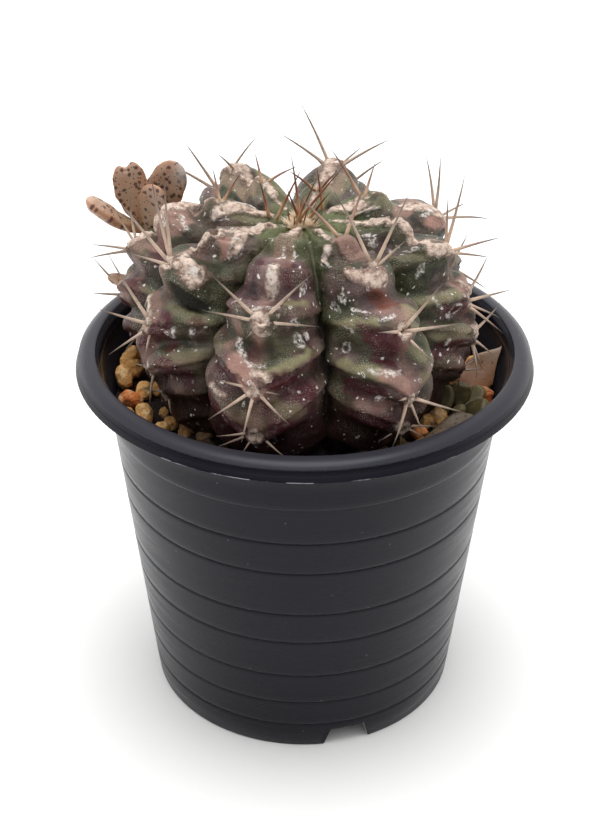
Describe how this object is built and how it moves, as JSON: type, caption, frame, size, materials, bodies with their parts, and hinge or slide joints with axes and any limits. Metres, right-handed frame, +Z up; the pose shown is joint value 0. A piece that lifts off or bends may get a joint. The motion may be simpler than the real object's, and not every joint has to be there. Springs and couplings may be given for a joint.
{
  "type": "potted chin cactus",
  "caption": "Ribbed chin cactus with bent spines in a banded nursery pot, with gravel, a small speckled succulent and dropped leaves.",
  "frame": {"origin": "on the pot's axis, in the plane that the pot's foot stands on", "axes": "+Z up along the pot's axis; the side with the wide front rib faces -Y, and the tall speckled succulent stands at -X, +Y"},
  "size_m": [0.112, 0.112, 0.1443],
  "materials": {
    "pot_plastic": "satin",
    "potting_mix": "matte",
    "gravel": "matte",
    "cactus_skin": "satin",
    "speckled_leaf": "satin",
    "young_leaf": "satin",
    "dry_leaf": "matte"
  },
  "bodies": {
    "root": {"pot": "pot_plastic", "potting_mix": "potting_mix", "gravel_topdressing": "gravel", "cactus": "cactus_skin", "companion_plant": "speckled_leaf", "young_plant": "young_leaf", "dropped_leaf_large": "dry_leaf", "dropped_leaf_small": "dry_leaf"}
  },
  "joints": []
}
